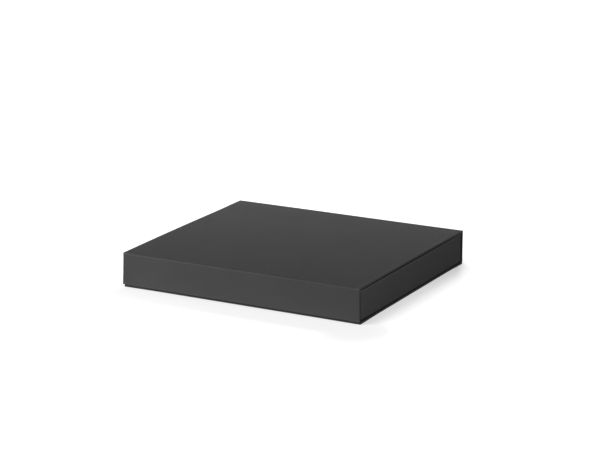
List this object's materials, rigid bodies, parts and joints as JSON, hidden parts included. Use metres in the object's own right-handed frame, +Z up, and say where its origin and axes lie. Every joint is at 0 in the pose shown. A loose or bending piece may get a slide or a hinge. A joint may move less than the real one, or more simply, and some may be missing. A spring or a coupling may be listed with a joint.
{
  "type": "sliding drawer gift box",
  "caption": "Flat rigid gift box: a paper-wrapped drawer that slides endways in an open-ended sleeve with a plain black finish.",
  "frame": {"origin": "centre of the underside of the closed box, on the surface it stands on", "axes": "+X along the length towards the right-hand mouth of the sleeve, which is the way the drawer slides; -Y is the front; +Z up"},
  "size_m": [0.3, 0.25, 0.04],
  "materials": {
    "greyboard": "raw grey bookbinding board, matt and fibrous",
    "wrap_paper": "matt black paper dyed in the mass, fine tooth, faint sheen at a low angle",
    "lining_paper": "plain matt black lining paper",
    "gummed_strip": "brown gummed kraft paper"
  },
  "bodies": {
    "sleeve": {"sleeve_top_board": "greyboard", "sleeve_front_board": "greyboard", "sleeve_rear_board": "greyboard", "sleeve_base_board": "greyboard", "sleeve_cover_wrap": "wrap_paper", "sleeve_base_wrap": "wrap_paper", "sleeve_cover_lining": "lining_paper", "sleeve_base_lining": "lining_paper", "sleeve_front_joint_strip": "gummed_strip", "sleeve_rear_joint_strip": "gummed_strip"},
    "drawer": {"drawer_floor_board": "greyboard", "drawer_front_side_board": "greyboard", "drawer_rear_side_board": "greyboard", "drawer_left_end_board": "greyboard", "drawer_right_end_board": "greyboard", "drawer_front_left_corner_stay": "gummed_strip", "drawer_front_right_corner_stay": "gummed_strip", "drawer_rear_right_corner_stay": "gummed_strip", "drawer_rear_left_corner_stay": "gummed_strip", "drawer_wrap": "wrap_paper", "drawer_floor_lining": "lining_paper"}
  },
  "joints": [
    {"name": "drawer_slide", "type": "slide", "parent": "sleeve", "child": "drawer", "axis": [1, 0, 0], "range_m": [-0.25, 0.25]}
  ]
}
